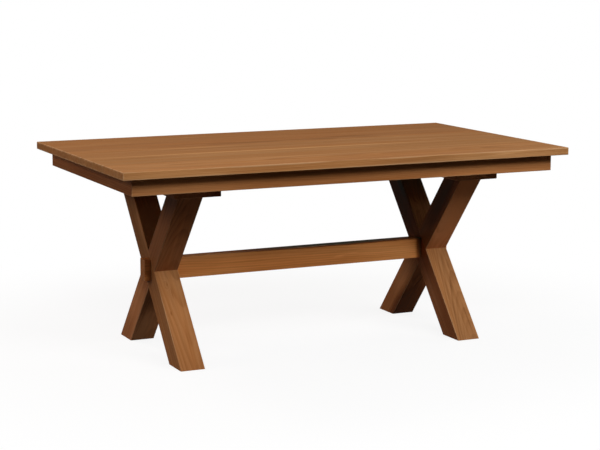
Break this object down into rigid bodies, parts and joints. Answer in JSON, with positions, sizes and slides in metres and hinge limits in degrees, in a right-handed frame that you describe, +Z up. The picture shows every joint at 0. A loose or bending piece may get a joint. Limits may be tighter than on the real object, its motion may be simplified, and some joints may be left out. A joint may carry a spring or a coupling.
{
  "type": "sawbuck table",
  "caption": "Rectangular wooden dining table: a plank top with a mitred apron on crossed sawbuck trestles that a through-tenoned stretcher joins.",
  "frame": {"origin": "on the floor, under the middle of the top", "axes": "+X along the length of the table, +Y across it to the back, +Z up"},
  "size_m": [1.8, 1.02, 0.762],
  "materials": {
    "top_wood": "satin brown stain and clear lacquer, fine straight grain",
    "frame_wood": "satin brown stain and clear lacquer, grain along each piece",
    "bearer_wood": "planed, lightly sealed",
    "peg_wood": "end grain, stained with the legs",
    "zinc_steel": "bright zinc plated",
    "insert_brass": "plain turned brass"
  },
  "bodies": {
    "root": {"front_edge_board": "top_wood", "front_inner_board": "top_wood", "centre_board": "top_wood", "back_inner_board": "top_wood", "back_edge_board": "top_wood", "front_apron_rail": "frame_wood", "back_apron_rail": "frame_wood", "left_apron_rail": "frame_wood", "right_apron_rail": "frame_wood", "front_left_corner_block": "bearer_wood", "front_right_corner_block": "bearer_wood", "back_right_corner_block": "bearer_wood", "back_left_corner_block": "bearer_wood", "left_cross_bearer": "bearer_wood", "middle_cross_bearer": "bearer_wood", "right_cross_bearer": "bearer_wood", "left_mounting_plate": "frame_wood", "right_mounting_plate": "frame_wood", "left_front_leg": "frame_wood", "left_back_leg": "frame_wood", "right_front_leg": "frame_wood", "right_back_leg": "frame_wood", "stretcher": "frame_wood", "stretcher_pegs": "peg_wood", "plate_to_leg_screws": "zinc_steel", "plate_bolts": "zinc_steel", "plate_bolt_washers": "zinc_steel", "threaded_inserts": "insert_brass", "bearer_screws": "zinc_steel", "apron_clips": "zinc_steel", "apron_clip_screws": "zinc_steel", "corner_block_screws": "zinc_steel"}
  },
  "joints": []
}
